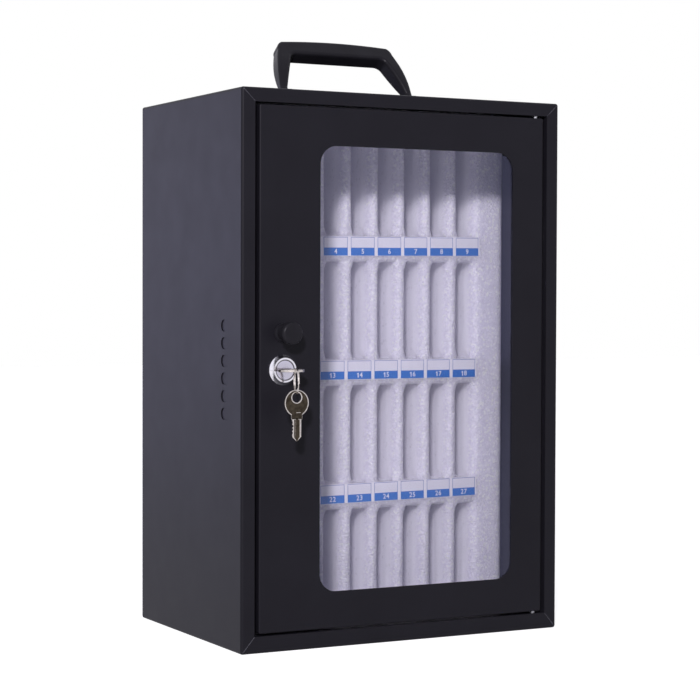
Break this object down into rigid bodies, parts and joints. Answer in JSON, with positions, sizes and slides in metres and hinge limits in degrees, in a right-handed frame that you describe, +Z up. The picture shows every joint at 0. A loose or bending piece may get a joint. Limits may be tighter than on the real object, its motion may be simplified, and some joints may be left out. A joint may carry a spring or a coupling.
{
  "type": "cell phone locker box",
  "caption": "Upright sheet-steel storage locker with a framed window door, cam lock with key, pull knob, folding carrying handle and a slotted foam insert for handsets.",
  "frame": {"origin": "middle of the flat underside of the closed cabinet", "axes": "+Z up along the height, the door faces -Y, +X to the right seen from the front; the door's pivots are on the +X side"},
  "size_m": [0.298, 0.2433, 0.5067],
  "materials": {
    "powder_coat": "satin",
    "foam": "matte",
    "label": "satin",
    "zinc_steel": "satin",
    "fastener": "satin",
    "clear_pane": "polished",
    "black_plastic": "matte",
    "lock_chrome": "polished",
    "key_nickel": "satin"
  },
  "bodies": {
    "cabinet": {"side_panel_left": "powder_coat", "side_panel_right": "powder_coat", "top_panel": "powder_coat", "bottom_panel": "powder_coat", "back_panel": "powder_coat", "foam_back_pad": "foam", "foam_bar_top": "foam", "foam_bar_1": "foam", "foam_bar_2": "foam", "foam_bar_3": "foam", "foam_bar_base": "foam", "foam_ribs_1": "foam", "foam_ribs_2": "foam", "foam_ribs_3": "foam", "foam_ribs_4": "foam", "label_strip_1": "label", "label_strip_2": "label", "label_strip_3": "label", "label_strip_4": "label", "bracket_left": "zinc_steel", "bracket_right": "zinc_steel", "handle_pin_left": "fastener", "handle_pin_right": "fastener", "bracket_bolts": "fastener", "bracket_nuts": "fastener"},
    "door": {"door_panel": "powder_coat", "window_pane": "clear_pane", "pane_clips": "zinc_steel", "clip_studs": "fastener", "clip_nuts": "fastener", "pivot_upper": "fastener", "pivot_lower": "fastener", "door_knob": "black_plastic", "knob_screw": "fastener", "lock_housing": "lock_chrome", "lock_nut": "fastener"},
    "lock_core": {"lock_plug": "lock_chrome", "lock_cam": "zinc_steel", "cam_screw": "fastener", "key_in_lock": "key_nickel"},
    "key_ring": {"key_ring": "key_nickel"},
    "spare_key": {"spare_key": "key_nickel"},
    "handle": {"handle": "black_plastic"}
  },
  "joints": [
    {"name": "door_hinge", "type": "hinge", "parent": "cabinet", "child": "door", "pos_m": [0.1282, -0.099, 0.22575], "axis": [0, 0, 1], "range_deg": [0, 110]},
    {"name": "lock_turn", "type": "hinge", "parent": "door", "child": "lock_core", "pos_m": [-0.113, -0.104, 0.2259], "axis": [0, 1, 0], "range_deg": [0, 90]},
    {"name": "ring_swing", "type": "hinge", "parent": "lock_core", "child": "key_ring", "pos_m": [-0.113, -0.1291, 0.2278], "axis": [0.2924, 0.9563, 0], "range_deg": [-10, 20]},
    {"name": "spare_key_swing", "type": "hinge", "parent": "key_ring", "child": "spare_key", "pos_m": [-0.113, -0.1291, 0.208], "axis": [0.2924, 0.9563, 0], "range_deg": [-45, 45]},
    {"name": "handle_fold", "type": "hinge", "parent": "cabinet", "child": "handle", "pos_m": [0, 0, 0.457], "axis": [1, 0, 0], "range_deg": [-48.5, 119.5]}
  ]
}
